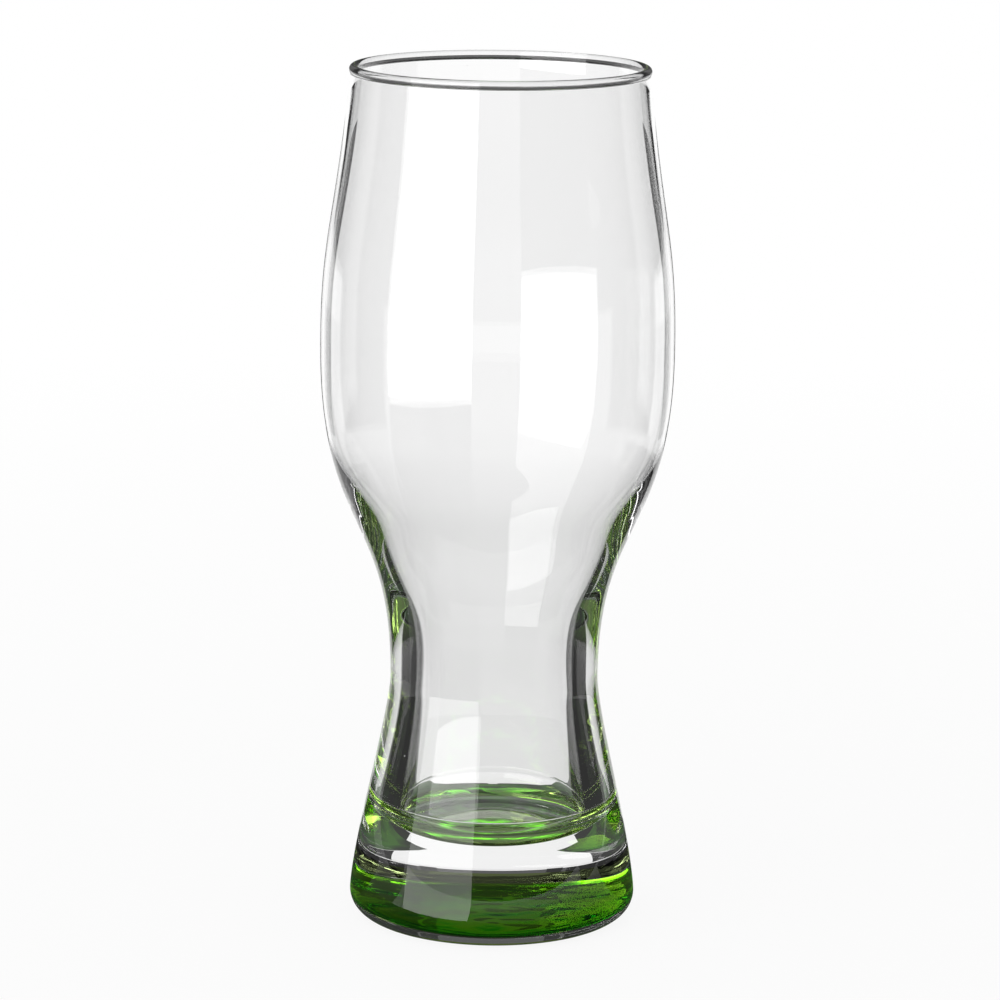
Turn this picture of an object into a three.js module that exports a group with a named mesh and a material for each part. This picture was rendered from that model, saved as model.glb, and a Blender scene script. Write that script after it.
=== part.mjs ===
// A pilsner glass: one piece of clear soda-lime glass, pressed and then blown, with a thick solid foot,
// a narrow waist and a tall belly, and a green see-through colour coat under the foot.
// Millimetres, +Z up. The origin is on the glass's axis, in the plane of the table it stands on.

import * as THREE from 'three';

// Outside of the glass. A lean is in degrees from upright, inwards going up, and outwards where it is negative.
const glassHeight = 185;
const footRadius = 31;
const footLean = 4;
const heelRounding = 5;
const waistRadius = 22.45;
const waistHeight = 53;
const bellyRadius = 37.9;
const bellyHeight = 125;
const rimRadius = 31.95;
const rimLean = 6;

// Thickness of the glass, measured level. The blown bowl is thin and the pressed neck and waist are thick.
const lipWall = 1.3;
const bowlWall = 1;
const neckWall = 3.5;
const waistWall = 5.45;
const cupFootWall = 7.4;

// The fire-polished bead of the rim, and how far it stands proud of the outside
const beadRadius = 1.05;
const beadProud = 0.2;

// Inside of the cup. Its floor is a low dome, and the wall starts where the soft corner round the floor ends.
const floorHeight = 18.9;
const floorDome = 0.6;
const floorRadius = 12.3;
const cupFootHeight = 25.1;
const cupFootLean = 8;
const neckHeight = 76;
const neckLean = -21.7;

// Underside: a narrow flat ring that the glass stands on, round a shallow recess that holds the colour coat
const ringWidth = 2;
const recessDepth = 1;
const recessDraft = 0.6;
const coatThickness = 0.3;
const coatMargin = 0.4;

// How far each curve of the wall holds its lean at its two ends, as shares of the height between them
const footReachShare = 0.25;
const underWaistReachShare = 0.17;
const overWaistReachShare = 0.5;
const underBellyReachShare = 0.56;
const overBellyReachShare = 0.4;
const underRimReachShare = 0.56;
const floorEdgeReachShare = 0.13;
const underCupFootReachShare = 0.68;
const overCupFootReachShare = 0.26;
const underBoreReachShare = 0.28;
const overBoreReachShare = 0.38;
const underNeckReachShare = 0.37;
const overNeckReachShare = 0.435;
const underBowlReachShare = 0.633;

// Fineness of the faceted solids
const sidesRound = 60;
const heelSteps = 5;
const footSteps = 6;
const neckSteps = 6;
const shoulderSteps = 11;
const bellySteps = 8;
const rimSteps = 4;
const cornerSteps = 6;
const floorSteps = 3;

const clearGlass = new THREE.MeshStandardMaterial({
    name: 'clear_glass',
    color: 0xf4f7f6,
    roughness: 0.02,
    metalness: 0,
    transparent: true,
    opacity: 0.35,
});

const greenCoat = new THREE.MeshStandardMaterial({
    name: 'green_coat',
    color: 0x4fb80a,
    roughness: 0.15,
    metalness: 0,
    transparent: true,
    opacity: 0.8,
});

// A place on the profile: its radius from the axis, its height, and the wall's lean there
function station(radius, height, lean = 0) {
    return { point: new THREE.Vector2(radius, height), lean: THREE.MathUtils.degToRad(lean) };
}

// The point at a distance along the wall's lean from a station, upwards when the distance is positive
function alongWall(place, distance) {
    const direction = new THREE.Vector2(-Math.sin(place.lean), Math.cos(place.lean));
    return place.point.clone().addScaledVector(direction, distance);
}

// A smooth run of wall from a lower station to an upper one, without its first point
function wallRun(lower, upper, lowerShare, upperShare, steps) {
    const rise = upper.point.y - lower.point.y;
    const curve = new THREE.CubicBezierCurve(
        lower.point,
        alongWall(lower, rise * lowerShare),
        alongWall(upper, -rise * upperShare),
        upper.point,
    );
    return curve.getPoints(steps).slice(1);
}

// Points on an arc, with its angles in radians from level
function arcPoints(centre, radius, startAngle, endAngle, steps) {
    const points = [];
    for (let step = 0; step <= steps; step += 1) {
        const angle = THREE.MathUtils.lerp(startAngle, endAngle, step / steps);
        const offset = new THREE.Vector2(Math.cos(angle), Math.sin(angle)).multiplyScalar(radius);
        points.push(centre.clone().add(offset));
    }
    return points;
}

// The heel: an arc from the standing ring up to the foot's wall
function heelPoints() {
    const lean = THREE.MathUtils.degToRad(footLean);
    const centre = new THREE.Vector2(heelCentreRadius(), heelRounding);
    return arcPoints(centre, heelRounding, -Math.PI / 2, lean, heelSteps);
}

function heelCentreRadius() {
    return footRadius - heelRounding * Math.cos(THREE.MathUtils.degToRad(footLean));
}

// The underside, from the axis to the standing ring: the recess's flat ceiling and its sloping edge
function undersidePoints() {
    return [
        new THREE.Vector2(0, recessDepth),
        new THREE.Vector2(ceilingRadius(), recessDepth),
        new THREE.Vector2(ceilingRadius() + recessDraft, 0),
    ];
}

function ceilingRadius() {
    return heelCentreRadius() - ringWidth - recessDraft;
}

// The outside from the heel's top up to just below the rim's bead
function outsidePoints() {
    const heelTop = heelPoints()[heelSteps];
    const foot = station(heelTop.x, heelTop.y, footLean);
    const waist = station(waistRadius, waistHeight);
    const belly = station(bellyRadius, bellyHeight);
    const lip = station(outerLipRadius(), lipHeight(), rimLean);
    return [
        foot.point,
        ...wallRun(foot, waist, footReachShare, underWaistReachShare, footSteps),
        ...wallRun(waist, belly, overWaistReachShare, underBellyReachShare, shoulderSteps),
        ...wallRun(belly, lip, overBellyReachShare, underRimReachShare, bellySteps),
    ];
}

// The outside's radius at a height above the heel
function outerRadiusAt(height) {
    const outside = outsidePoints();
    const above = outside.findIndex((point) => point.y >= height);
    const lower = outside[above - 1];
    const upper = outside[above];
    const share = (height - lower.y) / (upper.y - lower.y);
    return THREE.MathUtils.lerp(lower.x, upper.x, share);
}

function outerLipRadius() {
    return rimRadius - beadProud;
}

function lipHeight() {
    return glassHeight - 2 * beadRadius;
}

// The bead of the rim, from its outer foot over the top to its inner foot
function rimPoints() {
    const centre = new THREE.Vector2(rimRadius - beadRadius, glassHeight - beadRadius);
    const outerFoot = outerLipRadius() - centre.x;
    const innerFoot = outerFoot - lipWall;
    const startAngle = -Math.acos(outerFoot / beadRadius);
    const endAngle = 2 * Math.PI - Math.acos(innerFoot / beadRadius);
    return [
        ...arcPoints(centre, beadRadius, startAngle, Math.PI / 2, rimSteps),
        ...arcPoints(centre, beadRadius, Math.PI / 2, endAngle, rimSteps).slice(1),
    ];
}

// The edge of the cup's domed floor, where its soft corner starts, with the lean that the dome has there
function floorEdge() {
    const fall = THREE.MathUtils.radToDeg(Math.atan(2 * floorDome / floorRadius));
    return station(floorRadius, floorHeight - floorDome, -90 - fall);
}

// The inside of the cup, from its floor's edge up to just below the rim's bead
function insidePoints() {
    const cupFoot = station(outerRadiusAt(cupFootHeight) - cupFootWall, cupFootHeight, cupFootLean);
    const bore = station(waistRadius - waistWall, waistHeight);
    const neck = station(outerRadiusAt(neckHeight) - neckWall, neckHeight, neckLean);
    const bowl = station(bellyRadius - bowlWall, bellyHeight);
    const lip = station(outerLipRadius() - lipWall, lipHeight(), rimLean);
    return [
        ...wallRun(floorEdge(), cupFoot, floorEdgeReachShare, underCupFootReachShare, cornerSteps),
        ...wallRun(cupFoot, bore, overCupFootReachShare, underBoreReachShare, footSteps),
        ...wallRun(bore, neck, overBoreReachShare, underNeckReachShare, neckSteps),
        ...wallRun(neck, bowl, overNeckReachShare, underBowlReachShare, shoulderSteps),
        ...wallRun(bowl, lip, overBellyReachShare, underRimReachShare, bellySteps),
    ];
}

// The cup's domed floor, from the axis to its edge
function floorPoints() {
    const points = [];
    for (let step = 0; step <= floorSteps; step += 1) {
        const share = step / floorSteps;
        points.push(new THREE.Vector2(floorRadius * share, floorHeight - floorDome * share * share));
    }
    return points;
}

// Turns a profile about the glass's axis and stands it up along +Z
function turned(name, profile, material) {
    const geometry = new THREE.LatheGeometry(profile, sidesRound);
    geometry.rotateX(Math.PI / 2);
    const mesh = new THREE.Mesh(geometry, material);
    mesh.name = name;
    return mesh;
}

// The glass itself, one piece: out along the underside, up the outside, over the rim and down into the cup
function glassBody() {
    const cup = [...floorPoints(), ...insidePoints()];
    const profile = [
        ...undersidePoints(),
        ...heelPoints(),
        ...outsidePoints().slice(1),
        ...rimPoints(),
        ...cup.reverse(),
    ];
    return turned('glass_body', profile, clearGlass);
}

// The colour coat: a thin round layer against the ceiling of the recess, clear of the table
function baseColourCoat() {
    const coatRadius = ceilingRadius() - coatMargin;
    const profile = [
        new THREE.Vector2(0, recessDepth - coatThickness),
        new THREE.Vector2(coatRadius, recessDepth - coatThickness),
        new THREE.Vector2(coatRadius, recessDepth),
        new THREE.Vector2(0, recessDepth),
    ];
    return turned('base_colour_coat', profile, greenCoat);
}

const pilsnerGlass = new THREE.Group();
pilsnerGlass.add(glassBody(), baseColourCoat());

export default pilsnerGlass;
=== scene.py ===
from math import acos, atan, cos, degrees, pi, radians, sin, tan

import bmesh
import bpy
from mathutils import Euler, Matrix, Quaternion, Vector
from mathutils.geometry import interpolate_bezier


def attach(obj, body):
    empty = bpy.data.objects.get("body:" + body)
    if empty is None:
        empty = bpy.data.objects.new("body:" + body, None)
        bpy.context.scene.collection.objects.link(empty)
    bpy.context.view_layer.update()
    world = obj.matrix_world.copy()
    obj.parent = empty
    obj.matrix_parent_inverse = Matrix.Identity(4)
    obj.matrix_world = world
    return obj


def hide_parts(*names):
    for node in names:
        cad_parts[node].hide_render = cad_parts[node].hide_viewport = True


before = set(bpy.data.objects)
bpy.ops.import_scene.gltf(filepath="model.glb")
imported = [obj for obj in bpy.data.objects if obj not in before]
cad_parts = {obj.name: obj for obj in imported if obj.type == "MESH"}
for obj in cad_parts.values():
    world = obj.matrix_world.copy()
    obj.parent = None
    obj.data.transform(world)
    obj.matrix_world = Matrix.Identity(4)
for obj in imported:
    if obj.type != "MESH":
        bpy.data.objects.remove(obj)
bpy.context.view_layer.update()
mm = 0.001
print("stage 1: frame loaded")


# Helpers

def hexToLinear(code):
    parts = [int(code[i:i + 2], 16) / 255 for i in (0, 2, 4)]
    return [c / 12.92 if c <= 0.04045 else ((c + 0.055) / 1.055) ** 2.4 for c in parts] + [1]


def newMaterial(name):
    material = bpy.data.materials.new(name)
    material.use_nodes = True
    material.node_tree.nodes.clear()
    return material, material.node_tree


def addNode(tree, kind, inputs={}, **settings):
    node = tree.nodes.new(kind)
    for name, value in settings.items():
        setattr(node, name, value)
    for socket, value in inputs.items():
        if isinstance(value, bpy.types.NodeSocket):
            tree.links.new(value, node.inputs[socket])
        else:
            node.inputs[socket].default_value = value
    return node


# Joins points that fall together, keeps edges sharper than the crease hard, and puts the mesh in the scene
def finishMesh(bm, name):
    weld, crease = 0.001 * mm, radians(30)
    bmesh.ops.remove_doubles(bm, verts=bm.verts, dist=weld)
    bmesh.ops.recalc_face_normals(bm, faces=bm.faces)
    for edge in bm.edges:
        edge.smooth = edge.calc_face_angle(0) < crease
    for face in bm.faces:
        face.smooth = True
    mesh = bpy.data.meshes.new(name)
    bm.to_mesh(mesh)
    bm.free()
    piece = bpy.data.objects.new(name, mesh)
    bpy.context.scene.collection.objects.link(piece)
    return piece


# Spins an outline, given in millimetres as radius and height, into a solid about the glass's axis
def turned(name, outline, sides):
    bm = bmesh.new()
    verts = [bm.verts.new((point.x * mm, 0, point.y * mm)) for point in outline]
    edges = [bm.edges.new(pair) for pair in zip(verts, verts[1:])]
    bmesh.ops.spin(bm, geom=verts + edges, cent=(0, 0, 0), axis=(0, 0, 1), dvec=(0, 0, 0),
                   angle=2 * pi, steps=sides, use_merge=True, use_duplicate=False)
    return finishMesh(bm, name)


# Outline of the glass, from the same sizes as the CAD part. Millimetres and degrees.
# A lean is from upright, inwards going up, and outwards where it is negative. A run is a stretch of wall: how
# far it holds its lean at its lower and its upper end, as shares of its rise, and its steps.
glassShape = {
    "height": 185, "footRadius": 31, "footLean": 4, "heelRounding": 5,
    "waistRadius": 22.45, "waistHeight": 53, "bellyRadius": 37.9, "bellyHeight": 125,
    "rimRadius": 31.95, "rimLean": 6,
    "lipWall": 1.3, "bowlWall": 1, "neckWall": 3.5, "waistWall": 5.45, "cupFootWall": 7.4,
    "beadRadius": 1.05, "beadProud": 0.2,
    "floorHeight": 18.9, "floorDome": 0.6, "floorRadius": 12.3,
    "cupFootHeight": 25.1, "cupFootLean": 8, "neckHeight": 76, "neckLean": -21.7,
    "ringWidth": 2, "recessDepth": 1, "recessDraft": 0.6, "recessRounding": 0.25,
    "footRun": (0.25, 0.17, 36), "neckRun": (0.5, 0.56, 56), "shoulderRun": (0.4, 0.56, 36),
    "cornerRun": (0.13, 0.68, 24), "underBoreRun": (0.26, 0.28, 28), "overBoreRun": (0.38, 0.37, 32),
    "bowlRun": (0.435, 0.633, 56),
    "heelSteps": 18, "floorSteps": 8, "outerBeadSteps": 14, "innerBeadSteps": 18, "sides": 240,
}


def station(radius, height, lean=0):
    angle = radians(lean)
    return Vector((radius, height)), Vector((-sin(angle), cos(angle)))


def wallRun(lower, upper, lowerShare, upperShare, steps):
    (start, startWay), (end, endWay) = lower, upper
    rise = end.y - start.y
    run = interpolate_bezier(start, start + startWay * rise * lowerShare,
                             end - endWay * rise * upperShare, end, steps + 1)
    return run[1:]


def arc(centre, radius, startAngle, endAngle, steps):
    angles = [startAngle + (endAngle - startAngle) * step / steps for step in range(steps + 1)]
    return [Vector((centre[0] + radius * cos(a), centre[1] + radius * sin(a))) for a in angles]


# A corner of the outline with its point rounded off
def roundedCorner(before, corner, after, radius, steps=4):
    pull = 0.55  # near a circle's arc
    start = corner + (before - corner).normalized() * radius
    end = corner + (after - corner).normalized() * radius
    return interpolate_bezier(start, start.lerp(corner, pull), end.lerp(corner, pull), end, steps + 1)


def heelCentreRadius(s):
    return s["footRadius"] - s["heelRounding"] * cos(radians(s["footLean"]))


def ceilingRadius(s):
    return heelCentreRadius(s) - s["ringWidth"] - s["recessDraft"]


def outsideOutline(s):
    heel = arc((heelCentreRadius(s), s["heelRounding"]), s["heelRounding"],
               -pi / 2, radians(s["footLean"]), s["heelSteps"])
    foot = station(*heel[-1], s["footLean"])
    waist = station(s["waistRadius"], s["waistHeight"])
    belly = station(s["bellyRadius"], s["bellyHeight"])
    lip = station(s["rimRadius"] - s["beadProud"], s["height"] - 2 * s["beadRadius"], s["rimLean"])
    return (heel + wallRun(foot, waist, *s["footRun"]) + wallRun(waist, belly, *s["neckRun"])
            + wallRun(belly, lip, *s["shoulderRun"]))


def radiusAt(outline, height):
    upper = next(i for i, point in enumerate(outline) if point.y >= height)
    low, high = outline[upper - 1], outline[upper]
    return low.lerp(high, (height - low.y) / (high.y - low.y)).x


def insideOutline(s, outside):
    floor = []
    for step in range(s["floorSteps"] + 1):
        share = step / s["floorSteps"]
        floor.append(Vector((s["floorRadius"] * share, s["floorHeight"] - s["floorDome"] * share ** 2)))
    fall = degrees(atan(2 * s["floorDome"] / s["floorRadius"]))
    floorEdge = station(*floor[-1], -90 - fall)
    cupFoot = station(radiusAt(outside, s["cupFootHeight"]) - s["cupFootWall"], s["cupFootHeight"],
                      s["cupFootLean"])
    bore = station(s["waistRadius"] - s["waistWall"], s["waistHeight"])
    neck = station(radiusAt(outside, s["neckHeight"]) - s["neckWall"], s["neckHeight"], s["neckLean"])
    bowl = station(s["bellyRadius"] - s["bowlWall"], s["bellyHeight"])
    lip = station(s["rimRadius"] - s["beadProud"] - s["lipWall"], s["height"] - 2 * s["beadRadius"],
                  s["rimLean"])
    return (floor + wallRun(floorEdge, cupFoot, *s["cornerRun"]) + wallRun(cupFoot, bore, *s["underBoreRun"])
            + wallRun(bore, neck, *s["overBoreRun"]) + wallRun(neck, bowl, *s["bowlRun"])
            + wallRun(bowl, lip, *s["shoulderRun"]))


def rimOutline(s):
    bead = s["beadRadius"]
    centre = (s["rimRadius"] - bead, s["height"] - bead)
    outerReach = bead - s["beadProud"]
    innerReach = outerReach - s["lipWall"]
    return (arc(centre, bead, -acos(outerReach / bead), pi / 2, s["outerBeadSteps"])
            + arc(centre, bead, pi / 2, 2 * pi - acos(innerReach / bead), s["innerBeadSteps"])[1:])


def undersideOutline(s, coatRadius):
    centre = Vector((0, s["recessDepth"]))
    coatEdge = Vector((coatRadius, s["recessDepth"]))
    ceilingEdge = Vector((ceilingRadius(s), s["recessDepth"]))
    ringInside = Vector((ceilingRadius(s) + s["recessDraft"], 0))
    ringOutside = Vector((heelCentreRadius(s), 0))
    soft = s["recessRounding"]
    return ([centre, coatEdge] + roundedCorner(coatEdge, ceilingEdge, ringInside, soft)
            + roundedCorner(ceilingEdge, ringInside, ringOutside, soft))


# The green coat, a round layer against the ceiling of the recess, and how far up the heel its spray reaches.
# The gap is between its face and the glass's, so that the two meshes don't share one plane.
coatShape = {"margin": 0.4, "thickness": 0.3, "gap": 0.005, "heelTop": 1.3, "sides": 240}


def makeGlassBody(s, coat, coatRadius):
    outside = outsideOutline(s)
    inside = insideOutline(s, outside)
    outline = undersideOutline(s, coatRadius) + outside + rimOutline(s) + inside[::-1]
    body = turned("glassBody", outline, s["sides"])
    for material in (clearGlass(s, glassMarks), bondedFace(), lacqueredHeel()):
        body.data.materials.append(material)
    undersideTop = 1.2 * s["recessDepth"] * mm  # over the recess's ceiling, and far under the cup's floor
    for face in body.data.polygons:
        reach, height = face.center.xy.length, face.center.z
        if reach < coatRadius * mm and height < undersideTop:
            face.material_index = 1
        if reach > heelCentreRadius(s) * mm and height < coat["heelTop"] * mm:
            face.material_index = 2
    return body


def makeCoat(s, coat, coatRadius):
    top = s["recessDepth"] - coat["gap"]
    bottom = s["recessDepth"] - coat["thickness"]
    outline = [Vector(p) for p in ((0, bottom), (coatRadius, bottom), (coatRadius, top), (0, top))]
    piece = turned("baseColourCoat", outline, coat["sides"])
    piece.data.materials.append(greenLacquer())
    return piece


# Materials

# Height of the surface's small marks, in millimetres, turned into a bump
def marks(tree, height):
    return addNode(tree, "ShaderNodeBump", {"Height": height, "Distance": mm, "Strength": 1.0}).outputs[0]


# A soft-edged value, 1 at the middle and 0 beyond the width
def pulse(tree, value, middle, width):
    off = addNode(tree, "ShaderNodeMath", {0: value, 1: middle}, operation="SUBTRACT")
    size = addNode(tree, "ShaderNodeMath", {0: off.outputs[0]}, operation="ABSOLUTE")
    return addNode(tree, "ShaderNodeMapRange", {
        "Value": size.outputs[0], "From Min": 0.0, "From Max": width, "To Min": 1.0, "To Max": 0.0},
        interpolation_type="SMOOTHSTEP").outputs[0]


def times(tree, first, second):
    return addNode(tree, "ShaderNodeMath", {0: first, 1: second}, operation="MULTIPLY").outputs[0]


def plus(tree, first, second):
    return addNode(tree, "ShaderNodeMath", {0: first, 1: second}, operation="ADD").outputs[0]


# What the glass's surface carries, in millimetres: slow waves in the blown wall, tiny seeds, and a fine line
# round the cup where the plunger's corner began
glassMarks = {
    "waveLength": 14, "waveHeight": 0.012,
    "seedSpacing": 9, "seedShare": 0.022, "seedHeight": 0.05,
    "lineWidth": 0.3, "lineHeight": 0.1, "lineReach": 21.5,
}
glassIndex = 1.52  # how strongly soda-lime glass bends light, and the lacquer with it


# Soda-lime glass, pressed, blown and fire-polished: colourless and mirror smooth, with waves that bend its
# highlights and a few seeds that glint
def clearGlass(s, marking):
    material, tree = newMaterial("fire-polished soda-lime glass")
    place = addNode(tree, "ShaderNodeTexCoord").outputs["Object"]
    parts = addNode(tree, "ShaderNodeSeparateXYZ", {0: place})
    flat = addNode(tree, "ShaderNodeCombineXYZ", {"X": parts.outputs["X"], "Y": parts.outputs["Y"]})
    reach = addNode(tree, "ShaderNodeVectorMath", {0: flat.outputs[0]}, operation="LENGTH").outputs["Value"]
    waves = addNode(tree, "ShaderNodeTexNoise", {
        "Vector": place, "Scale": 1 / (marking["waveLength"] * mm), "Detail": 1.0}).outputs["Fac"]
    seeds = addNode(tree, "ShaderNodeTexVoronoi", {
        "Vector": place, "Scale": 1 / (marking["seedSpacing"] * mm)}).outputs["Distance"]
    seed = pulse(tree, seeds, 0.0, marking["seedShare"])
    inCup = addNode(tree, "ShaderNodeMath", {
        0: reach, 1: marking["lineReach"] * mm}, operation="LESS_THAN").outputs[0]
    line = pulse(tree, parts.outputs["Z"], s["cupFootHeight"] * mm, marking["lineWidth"] * mm)
    line = times(tree, line, inCup)
    height = plus(tree, times(tree, waves, marking["waveHeight"]),
                  plus(tree, times(tree, seed, marking["seedHeight"]),
                       times(tree, line, marking["lineHeight"])))
    shader = addNode(tree, "ShaderNodeBsdfPrincipled", {
        "Base Color": hexToLinear("ffffff"), "Roughness": 0.0, "IOR": glassIndex,
        "Transmission Weight": 1.0, "Normal": marks(tree, height)})
    addNode(tree, "ShaderNodeOutputMaterial", {"Surface": shader.outputs[0]})
    return material


# Glass that the coat is bonded to: the lacquer bends light as glass does, so nothing shows where they meet
def bondedFace():
    material, tree = newMaterial("glass bonded to lacquer")
    shader = addNode(tree, "ShaderNodeBsdfTransparent")
    addNode(tree, "ShaderNodeOutputMaterial", {"Surface": shader.outputs[0]})
    return material


# The lacquer: what it takes out of the light, its tint as a film, and its blotches. At this density 0.3 mm of
# coat passes 0.84 of red, 0.98 of green and 0.57 of blue. Millimetres, and it is bonded from that height up.
lacquerLook = {
    "absorption": "d9fb00", "density": 1875, "filmTint": "e1f9a8",
    "blotchLength": 6, "blotchHeight": 0.7, "bondedFrom": 0.99,
}


# Height of the lacquer's free face: it dries in soft blotches, wavier than the pressed glass
def lacquerHeight(tree, place):
    blotches = addNode(tree, "ShaderNodeTexNoise", {
        "Vector": place, "Scale": 1 / (lacquerLook["blotchLength"] * mm), "Detail": 1.0}).outputs["Fac"]
    return times(tree, blotches, lacquerLook["blotchHeight"])


# Spray that reaches round the heel: a film on the glass, so it tints what passes it and what it mirrors
def lacqueredHeel():
    material, tree = newMaterial("glass with lacquer on it")
    place = addNode(tree, "ShaderNodeTexCoord").outputs["Object"]
    shader = addNode(tree, "ShaderNodeBsdfGlass", {
        "Color": hexToLinear(lacquerLook["filmTint"]), "Roughness": 0.0, "IOR": glassIndex,
        "Normal": marks(tree, lacquerHeight(tree, place))})
    addNode(tree, "ShaderNodeOutputMaterial", {"Surface": shader.outputs[0]})
    return material


# Stoved see-through lacquer, sprayed on and glossy on its free side. Light that crosses it once turns lime,
# and light that crosses it again and again in the foot turns a deep grass green.
def greenLacquer():
    material, tree = newMaterial("sprayed see-through green lacquer")
    place = addNode(tree, "ShaderNodeTexCoord").outputs["Object"]
    parts = addNode(tree, "ShaderNodeSeparateXYZ", {0: place})
    bonded = addNode(tree, "ShaderNodeMath", {
        0: parts.outputs["Z"], 1: lacquerLook["bondedFrom"] * mm}, operation="GREATER_THAN")
    free = addNode(tree, "ShaderNodeBsdfPrincipled", {
        "Base Color": hexToLinear("ffffff"), "Roughness": 0.0, "IOR": glassIndex,
        "Transmission Weight": 1.0, "Normal": marks(tree, lacquerHeight(tree, place))})
    clear = addNode(tree, "ShaderNodeBsdfTransparent")
    surface = addNode(tree, "ShaderNodeMixShader", {
        0: bonded.outputs[0], 1: free.outputs[0], 2: clear.outputs[0]})
    volume = addNode(tree, "ShaderNodeVolumeAbsorption", {
        "Color": hexToLinear(lacquerLook["absorption"]), "Density": lacquerLook["density"]})
    addNode(tree, "ShaderNodeOutputMaterial", {"Surface": surface.outputs[0], "Volume": volume.outputs[0]})
    return material


coatRadius = ceilingRadius(glassShape) - coatShape["margin"]
glassBody = makeGlassBody(glassShape, coatShape, coatRadius)
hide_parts("glass_body")
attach(glassBody, "root")
baseCoat = makeCoat(glassShape, coatShape, coatRadius)
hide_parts("base_colour_coat")
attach(baseCoat, "root")
print("stage 2: glass and coat made")

# Camera, fitted to the outline and the ellipses in the photograph. Metres and degrees, and millimetres for
# the lens and the sensor.
photoView = {"place": (0.00087, -0.900, 0.2803), "pitch": 11.85, "roll": 0.65, "lens": 154.04, "sensor": 36}
cameraData = bpy.data.cameras.new("camera")
cameraData.lens = photoView["lens"]
cameraData.sensor_width = photoView["sensor"]
camera = bpy.data.objects.new("camera", cameraData)
bpy.context.scene.collection.objects.link(camera)
camera.location = photoView["place"]
camera.rotation_mode = "QUATERNION"
level = Euler((radians(90 - photoView["pitch"]), 0, 0)).to_quaternion()
camera.rotation_quaternion = level @ Quaternion((0, 0, 1), radians(photoView["roll"]))
bpy.context.scene.camera = camera
bpy.context.view_layer.update()

# Studio, which turns with the camera as if the glass stood on a turntable: a dark tent over a pale table,
# white cards on the table behind the glass, black cards and flags beside it, and a tall softbox left of the
# camera that reaches below the table's edge. Angles run from straight behind the glass, to the right, and a
# flag has its radius, its height and its two angles. Lengths are in metres, but the flat cards and the strips
# are in millimetres, right and behind. A near or a far is a distance from the glass and the glow there.
studio = {
    "screenSteps": 24, "standRadius": 0.084, "tableRadius": 4, "tableDrop": 0.001,
    "tableNear": (0.084, 0.2), "tableFar": (0.42, 0.72),
    "tentRadius": 2.2, "tentLow": 0.03, "tentMiddle": 0.9, "tentHigh": 1.3, "tentTop": 2.0, "tentHole": 0.01,
    "tentBack": 22, "tentFront": (140, 220), "tentFrontGlow": 0.11, "tentSideGlow": 0.03,
    "flags": [(0.36, 0.9, -105, -62), (0.36, 0.9, 62, 105), (0.45, 0.13, -19, -14), (0.45, 0.13, 14, 19.5)],
    "flagGlow": 0.04, "cardHeight": 0.5,
    "whiteCard": [(-28, 64), (-41, 69), (-53, 86), (-90, 156), (-1500, 2600),
                  (1500, 2600), (98, 151), (52, 86), (34, 72), (28, 64)],
    "whiteNear": (0.15, 0.84), "whiteFar": (0.4, 1.0),
    "nearCard": [(-28, 64), (-20, 47), (-14, 41.5), (-8, 40.2), (8, 40.2), (14, 41.5), (20, 47), (28, 64)],
    "nearGlow": 0.95,
    "stripPlace": 40, "stripStart": 1.3, "stripEnd": 14, "stripLow": 0.6, "stripHigh": 2, "stripGlow": 0.06,
    "leftCard": [(-30, 34), (-45, 6), (-215, 46), (-187, 116), (-120, 185), (-54, 83)],
    "rightCard": [(30, 34), (45, 3), (310, 22), (285, 125), (220, 220), (169, 260), (54, 83)],
    "cardGlow": 0.03,
    "farTable": (1.0, 2.3), "farLift": 0.001, "farAngles": (28, 66), "farGlow": 0.95,
    "boxAngles": (-164, -106), "boxDistance": 1.2, "boxLow": -0.17, "boxHigh": 0.7, "boxGlow": 2.2,
    "apronGlow": 0.06,
}


# An emitter whose glow goes from one value to another with the distance from the glass, in metres
def emitter(name, near, far):
    material, tree = newMaterial(name)
    place = addNode(tree, "ShaderNodeTexCoord").outputs["Object"]
    reach = addNode(tree, "ShaderNodeVectorMath", {0: place}, operation="LENGTH")
    glow = addNode(tree, "ShaderNodeMapRange", {
        "Value": reach.outputs["Value"], "From Min": near[0], "From Max": far[0],
        "To Min": near[1], "To Max": far[1]})
    shader = addNode(tree, "ShaderNodeEmission", {"Color": (1, 1, 1, 1), "Strength": glow.outputs[0]})
    addNode(tree, "ShaderNodeOutputMaterial", {"Surface": shader.outputs[0]})
    material.cycles.emission_sampling = "NONE"
    return material


# The near and the far of an emitter that glows the same all over
def evenGlow(glow):
    return (0, glow), (1, glow)


# All of the studio hangs on this. It faces the camera and stays level on the table.
turntable = bpy.data.objects.new("turntable", None)
bpy.context.scene.collection.objects.link(turntable)
facing = turntable.constraints.new("LOCKED_TRACK")
facing.target = camera
facing.track_axis = "TRACK_NEGATIVE_Y"
facing.lock_axis = "LOCK_Z"
bpy.context.view_layer.update()


def placeInStudio(piece):
    piece.visible_camera = False
    piece.visible_diffuse = False
    piece.visible_shadow = False
    piece.parent = turntable


# A screen that stands or hangs round the glass, from one radius and height to another
def screen(name, low, high, angles, near, far):
    bm = bmesh.new()
    turn = Matrix.Rotation(radians(90 - angles[0]), 3, "Z")
    verts = [bm.verts.new(turn @ Vector((radius, 0, z))) for radius, z in (low, high)]
    edge = bm.edges.new(verts)
    bmesh.ops.spin(bm, geom=verts + [edge], cent=(0, 0, 0), axis=(0, 0, 1), dvec=(0, 0, 0),
                   angle=-radians(angles[1] - angles[0]), steps=studio["screenSteps"],
                   use_merge=False, use_duplicate=False)
    piece = finishMesh(bm, name)
    piece.data.materials.append(emitter(name, near, far))
    placeInStudio(piece)


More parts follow.
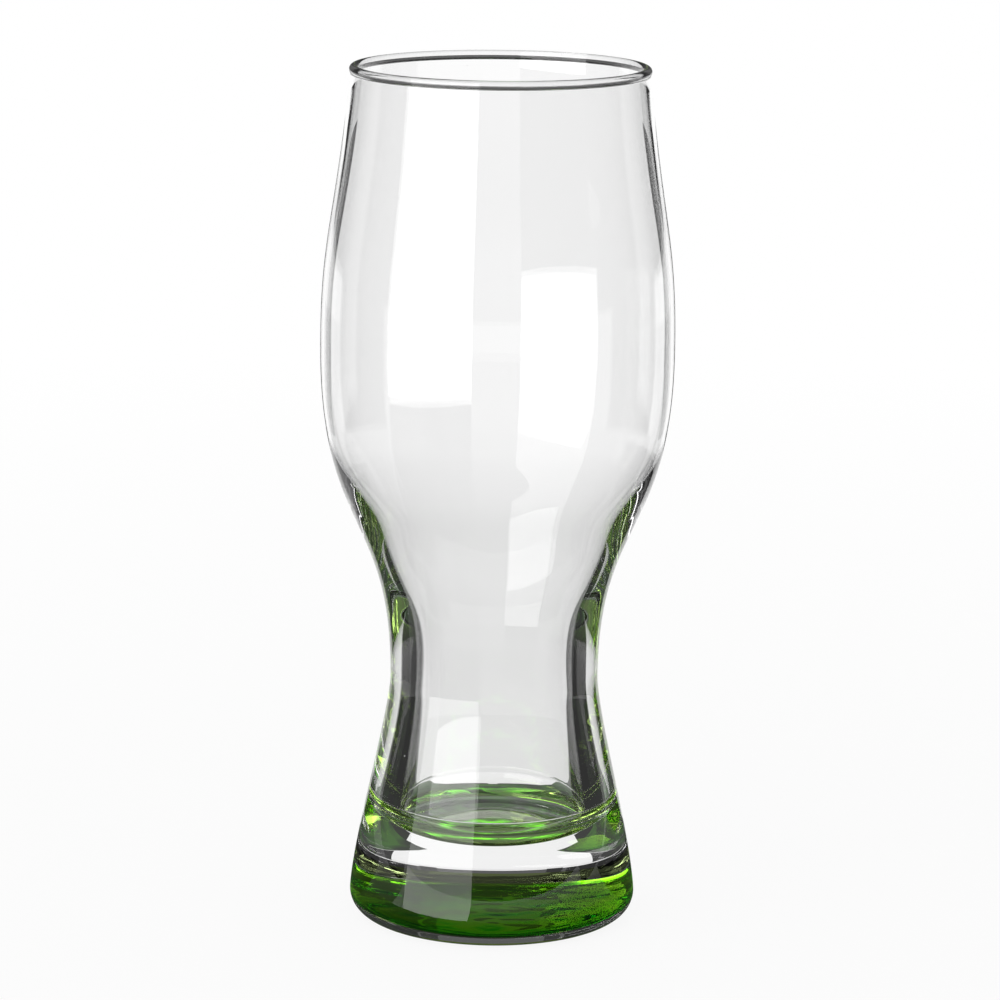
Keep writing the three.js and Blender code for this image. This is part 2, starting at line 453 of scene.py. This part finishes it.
# A flat card that lies on the table
def flatCard(name, corners, near, far):
    bm = bmesh.new()
    bm.faces.new([bm.verts.new((x * mm, y * mm, studio["cardHeight"] * mm)) for x, y in corners])
    bmesh.ops.triangulate(bm, faces=bm.faces)
    piece = finishMesh(bm, name)
    piece.data.materials.append(emitter(name, near, far))
    placeInStudio(piece)


# A low dark strip that stands behind the foot. The gap between two of them ends the clear band's light.
def lowStrip(name, side):
    start, end = side * studio["stripStart"] * mm, side * studio["stripEnd"] * mm
    place, low, high = studio["stripPlace"] * mm, studio["stripLow"] * mm, studio["stripHigh"] * mm
    corners = ((start, place, low), (end, place, low), (end, place, high), (start, place, high))
    bm = bmesh.new()
    bm.faces.new([bm.verts.new(corner) for corner in corners])
    piece = finishMesh(bm, name)
    piece.data.materials.append(emitter(name, *evenGlow(studio["stripGlow"])))
    placeInStudio(piece)


tentRadius, tentLow = studio["tentRadius"], studio["tentLow"]
tentMiddle, tentHigh = studio["tentMiddle"], studio["tentHigh"]
back, (frontStart, frontEnd) = studio["tentBack"], studio["tentFront"]
frontGlow, sideGlow = studio["tentFrontGlow"], studio["tentSideGlow"]
for name, angles, low, high, glow in (
        ("tent behind", (-back, back), tentLow, tentMiddle, frontGlow),
        ("tent behind, high", (-back, back), tentMiddle, tentHigh, sideGlow),
        ("tent right", (back, frontStart), tentLow, tentHigh, sideGlow),
        ("tent front", (frontStart, frontEnd), tentLow, tentHigh, frontGlow),
        ("tent left", (frontEnd, 360 - back), tentLow, tentHigh, sideGlow)):
    screen(name, (tentRadius, low), (tentRadius, high), angles, *evenGlow(glow))
screen("tent roof", (tentRadius, tentHigh), (studio["tentHole"], studio["tentTop"]), (0, 360),
       *evenGlow(sideGlow))
for radius, high, start, end in studio["flags"]:
    screen("black flag", (radius, 0), (radius, high), (start, end), *evenGlow(studio["flagGlow"]))
for name, side in (("left", -1), ("right", 1)):
    flatCard(name + " card", studio[name + "Card"], *evenGlow(studio["cardGlow"]))
    lowStrip(name + " strip", side)
flatCard("white card", studio["whiteCard"], studio["whiteNear"], studio["whiteFar"])
flatCard("white card at the foot", studio["nearCard"], *evenGlow(studio["nearGlow"]))

# The table that the glass sees, a little below the floor that the camera sees, open towards the softbox. An
# apron runs from it down to the softbox's lower edge.
boxStart, boxEnd = studio["boxAngles"]
tableEdge = (studio["standRadius"], -studio["tableDrop"])
screen("table", tableEdge, (studio["tableRadius"], -studio["tableDrop"]), (boxEnd, boxStart + 360),
       studio["tableNear"], studio["tableFar"])
screen("apron", tableEdge, (studio["boxDistance"], studio["boxLow"]), (boxStart, boxEnd),
       *evenGlow(studio["apronGlow"]))

# Far off, to the left and to the right behind the glass, the table is white
farNear, farEnd = studio["farTable"]
farStart, farStop = studio["farAngles"]
for angles in ((farStart, farStop), (-farStop, -farStart)):
    screen("white table far off", (farNear, studio["farLift"]), (farEnd, studio["farLift"]), angles,
           *evenGlow(studio["farGlow"]))

halfAngle = radians(boxEnd - boxStart) / 2
distance = studio["boxDistance"] * cos(halfAngle)
width, height = 2 * distance * tan(halfAngle), studio["boxHigh"] - studio["boxLow"]
softboxData = bpy.data.lights.new("softbox", "AREA")
softboxData.shape = "RECTANGLE"
softboxData.size = width
softboxData.size_y = height
softboxData.energy = studio["boxGlow"] * pi * width * height
softbox = bpy.data.objects.new("softbox", softboxData)
bpy.context.scene.collection.objects.link(softbox)
turn = radians(boxStart + boxEnd) / 2
softbox.location = (sin(turn) * distance, cos(turn) * distance, studio["boxLow"] + height / 2)
softbox.rotation_euler = (pi / 2, 0, pi - turn)
softbox.visible_camera = False
softbox.parent = turntable

# World: white to the eye and in what the glass shows of it, and softer to what it lights
roomGlow = {"plain": 0.7, "white": 1.0}
world = bpy.data.worlds.new("white room")
world.use_nodes = True
tree = world.node_tree
tree.nodes.clear()
path = addNode(tree, "ShaderNodeLightPath").outputs
seen = plus(tree, plus(tree, path["Is Camera Ray"], path["Is Glossy Ray"]), path["Is Transmission Ray"])
plain = addNode(tree, "ShaderNodeBackground", {"Color": (1, 1, 1, 1), "Strength": roomGlow["plain"]})
white = addNode(tree, "ShaderNodeBackground", {"Color": (1, 1, 1, 1), "Strength": roomGlow["white"]})
mixed = addNode(tree, "ShaderNodeMixShader", {0: seen, 1: plain.outputs[0], 2: white.outputs[0]})
addNode(tree, "ShaderNodeOutputWorld", {"Surface": mixed.outputs[0]})
bpy.context.scene.world = world

# The floor is white to the eye with a soft shadow. The glass sees it only close round the foot, where its own
# shadow lies, and further out it sees the studio's table below. Light that has come down through the coat
# lands under the foot in green streaks. Metres, but the ring and the streaks are in millimetres: the ring's
# middle, width and strength, and a streak's length and width. A near or a far is a distance and its value.
floorLook = {
    "radius": 4.0, "sides": 96, "colour": "f6f6f6", "eyeNear": (0.15, 0.9), "eyeFar": (0.7, 1.0),
    "shadowNear": (0.046, 0.035), "shadowFar": (0.084, 0.12), "underFoot": 0.024, "underGlow": 0.03,
    "ring": (15, 4.5, 0.75), "ringBase": 0.05, "ringColour": "85ff28",
    "streak": (7, 2.5), "streakLow": (0.42, 0.1), "streakHigh": (0.62, 1.0),
}


# A value that goes evenly from one to another as the input does
def between(tree, value, low, high):
    return addNode(tree, "ShaderNodeMapRange", {
        "Value": value, "From Min": low[0], "From Max": high[0],
        "To Min": low[1], "To Max": high[1]}).outputs[0]


material, tree = newMaterial("pale table")
place = addNode(tree, "ShaderNodeTexCoord").outputs["Object"]
reach = addNode(tree, "ShaderNodeVectorMath", {0: place}, operation="LENGTH").outputs["Value"]
path = addNode(tree, "ShaderNodeLightPath").outputs
eye = path["Is Camera Ray"]
bent = plus(tree, path["Is Glossy Ray"], path["Is Transmission Ray"])

shadowGlow = between(tree, reach, floorLook["shadowNear"], floorLook["shadowFar"])
under = addNode(tree, "ShaderNodeMath", {
    0: reach, 1: floorLook["underFoot"]}, operation="LESS_THAN").outputs[0]
shadowGlow = plus(tree, shadowGlow, times(tree, under, floorLook["underGlow"]))
glow = plus(tree, eye, times(tree, bent, shadowGlow))
white = addNode(tree, "ShaderNodeEmission", {"Color": (1, 1, 1, 1), "Strength": glow})

long, across = floorLook["streak"]
streaks = addNode(tree, "ShaderNodeVectorMath", {
    0: place, 1: (1 / (long * mm), 1 / (across * mm), 0)}, operation="MULTIPLY").outputs[0]
streaks = addNode(tree, "ShaderNodeTexNoise", {"Vector": streaks, "Scale": 1.0, "Detail": 2.0}).outputs["Fac"]
streaks = between(tree, streaks, floorLook["streakLow"], floorLook["streakHigh"])
middle, width, strength = floorLook["ring"]
ring = times(tree, pulse(tree, reach, middle * mm, width * mm), strength)
ring = plus(tree, ring, floorLook["ringBase"])
green = addNode(tree, "ShaderNodeEmission", {
    "Color": hexToLinear(floorLook["ringColour"]), "Strength": times(tree, bent, times(tree, ring, streaks))})
lit = addNode(tree, "ShaderNodeAddShader", {0: white.outputs[0], 1: green.outputs[0]})

matt = addNode(tree, "ShaderNodeBsdfDiffuse", {"Color": hexToLinear(floorLook["colour"])})
eyeShare = between(tree, reach, floorLook["eyeNear"], floorLook["eyeFar"])
litShare = plus(tree, times(tree, eye, eyeShare), bent)
top = addNode(tree, "ShaderNodeMixShader", {0: litShare, 1: matt.outputs[0], 2: lit.outputs[0]})
below = addNode(tree, "ShaderNodeBsdfTransparent")  # a camera under the table sees the foot
side = addNode(tree, "ShaderNodeNewGeometry").outputs["Backfacing"]
beyond = addNode(tree, "ShaderNodeMath", {
    0: reach, 1: floorLook["shadowFar"][0]}, operation="GREATER_THAN").outputs[0]
seeThrough = addNode(tree, "ShaderNodeMath", {0: side, 1: times(tree, bent, beyond)}, operation="MAXIMUM")
surface = addNode(tree, "ShaderNodeMixShader", {
    0: seeThrough.outputs[0], 1: top.outputs[0], 2: below.outputs[0]})
addNode(tree, "ShaderNodeOutputMaterial", {"Surface": surface.outputs[0]})
material.cycles.emission_sampling = "NONE"
bm = bmesh.new()
bmesh.ops.create_circle(bm, cap_ends=True, segments=floorLook["sides"], radius=floorLook["radius"])
floor = finishMesh(bm, "floor")
floor.data.materials.append(material)

bpy.context.scene.view_settings.view_transform = "Standard"
cycles = bpy.context.scene.cycles
bounces = 32  # light crosses and mirrors in the thick foot many times
cycles.max_bounces = bounces
cycles.transmission_bounces = bounces
cycles.glossy_bounces = bounces
cycles.transparent_max_bounces = 2 * bounces
print("stage 3: studio made")
